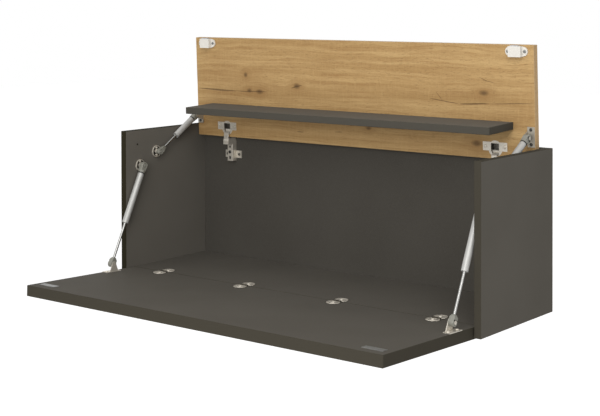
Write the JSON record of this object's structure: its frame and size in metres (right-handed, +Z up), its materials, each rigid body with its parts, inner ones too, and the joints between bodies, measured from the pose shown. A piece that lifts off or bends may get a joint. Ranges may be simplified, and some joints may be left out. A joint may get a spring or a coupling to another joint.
{
  "type": "fold-down wall desk",
  "caption": "Wall-hung cabinet whose front folds down on struts to make a desk top, with a top lid that folds up and carries a shelf.",
  "frame": {"origin": "on the wall's face, midway between the round openings of the two hanger plates", "axes": "+X to the right seen from the room, +Y into the wall, +Z up; the open flap reaches towards -Y"},
  "size_m": [1, 0.5921, 0.5684],
  "materials": {
    "graphite": "matt graphite laminate on board",
    "oak": "oak grain laminate on board",
    "plywood": "raw plywood",
    "nickel": "satin nickel plated",
    "zinc": "zinc plated steel",
    "silver": "light silver coat",
    "chrome": "polished",
    "grey_plastic": "moulded grey",
    "white_plastic": "moulded white"
  },
  "bodies": {
    "cabinet": {"left_side_panel": "graphite", "right_side_panel": "graphite", "bottom_panel": "graphite", "back_panel": "graphite", "cabinet_tongues": "plywood", "hanger_plates": "zinc", "left_flap_hinge_base_cups": "nickel", "right_flap_hinge_base_cups": "nickel", "left_lid_hinge_arm": "nickel", "right_lid_hinge_arm": "nickel", "left_lid_hinge_plate": "nickel", "right_lid_hinge_plate": "nickel", "flap_strut_rosettes": "nickel", "lid_strut_rosettes": "nickel"},
    "flap": {"flap_panel": "graphite", "left_flap_hinge_flap_cups": "nickel", "right_flap_hinge_flap_cups": "nickel", "left_flap_strut_foot": "nickel", "right_flap_strut_foot": "nickel", "left_catch_strike": "zinc", "right_catch_strike": "zinc"},
    "lid": {"lid_panel": "oak", "shelf": "graphite", "shelf_tongue": "plywood", "lid_hinge_cups": "nickel", "left_lid_strut_foot": "nickel", "right_lid_strut_foot": "nickel", "left_catch_housing": "white_plastic", "right_catch_housing": "white_plastic", "catch_pole_plates": "zinc"},
    "left_flap_strut_piston": {"left_flap_strut_rod": "chrome", "left_flap_strut_foot_eye": "grey_plastic"},
    "left_flap_strut_tube": {"left_flap_strut_cylinder": "silver", "left_flap_strut_side_eye": "grey_plastic"},
    "left_lid_strut_tube": {"left_lid_strut_cylinder": "silver", "left_lid_strut_foot_eye": "grey_plastic"},
    "left_lid_strut_piston": {"left_lid_strut_rod": "chrome", "left_lid_strut_side_eye": "grey_plastic"},
    "right_flap_strut_piston": {"right_flap_strut_rod": "chrome", "right_flap_strut_foot_eye": "grey_plastic"},
    "right_flap_strut_tube": {"right_flap_strut_cylinder": "silver", "right_flap_strut_side_eye": "grey_plastic"},
    "right_lid_strut_tube": {"right_lid_strut_cylinder": "silver", "right_lid_strut_foot_eye": "grey_plastic"},
    "right_lid_strut_piston": {"right_lid_strut_rod": "chrome", "right_lid_strut_side_eye": "grey_plastic"}
  },
  "joints": [
    {"name": "flap_hinge", "type": "hinge", "parent": "cabinet", "child": "flap", "pos_m": [0, -0.266, -0.276], "axis": [-1, 0, 0], "range_deg": [0, 88.03]},
    {"name": "lid_hinge", "type": "hinge", "parent": "cabinet", "child": "lid", "pos_m": [0, -0.0355, 0.039], "axis": [1, 0, 0], "range_deg": [0, 87.69], "stiffness_Nm_per_rad": 1.6, "springref_deg": -34.38},
    {"name": "left_flap_strut_pivot", "type": "hinge", "parent": "flap", "child": "left_flap_strut_piston", "pos_m": [-0.4715, -0.34733, -0.25519], "axis": [1, 0, 0], "range_deg": [0, 111.67]},
    {"name": "left_flap_strut_slide", "type": "slide", "parent": "left_flap_strut_piston", "child": "left_flap_strut_tube", "axis": [0, -0.4265, -0.9045], "range_m": [0, 0.08439]},
    {"name": "left_lid_strut_pivot", "type": "hinge", "parent": "lid", "child": "left_lid_strut_tube", "pos_m": [-0.4715, -0.05993, 0.07404], "axis": [-1, 0, 0], "range_deg": [0, 108.88]},
    {"name": "left_lid_strut_slide", "type": "slide", "parent": "left_lid_strut_tube", "child": "left_lid_strut_piston", "axis": [0, 0.8474, 0.5309], "range_m": [0, 0.03258]},
    {"name": "right_flap_strut_pivot", "type": "hinge", "parent": "flap", "child": "right_flap_strut_piston", "pos_m": [0.4715, -0.34733, -0.25519], "axis": [1, 0, 0], "range_deg": [0, 111.67]},
    {"name": "right_flap_strut_slide", "type": "slide", "parent": "right_flap_strut_piston", "child": "right_flap_strut_tube", "axis": [0, -0.4265, -0.9045], "range_m": [0, 0.08439]},
    {"name": "right_lid_strut_pivot", "type": "hinge", "parent": "lid", "child": "right_lid_strut_tube", "pos_m": [0.4715, -0.05993, 0.07404], "axis": [-1, 0, 0], "range_deg": [0, 108.88]},
    {"name": "right_lid_strut_slide", "type": "slide", "parent": "right_lid_strut_tube", "child": "right_lid_strut_piston", "axis": [0, 0.8474, 0.5309], "range_m": [0, 0.03258]}
  ],
  "couplings": [
    {"joint": "left_flap_strut_pivot", "follows": "flap_hinge", "ratio": 1.2684},
    {"joint": "left_flap_strut_slide", "follows": "flap_hinge", "m_per_rad": 0.054921},
    {"joint": "left_lid_strut_pivot", "follows": "lid_hinge", "ratio": 1.2415},
    {"joint": "left_lid_strut_slide", "follows": "lid_hinge", "m_per_rad": 0.021281},
    {"joint": "right_flap_strut_pivot", "follows": "flap_hinge", "ratio": 1.2684},
    {"joint": "right_flap_strut_slide", "follows": "flap_hinge", "m_per_rad": 0.054921},
    {"joint": "right_lid_strut_pivot", "follows": "lid_hinge", "ratio": 1.2415},
    {"joint": "right_lid_strut_slide", "follows": "lid_hinge", "m_per_rad": 0.021281}
  ]
}
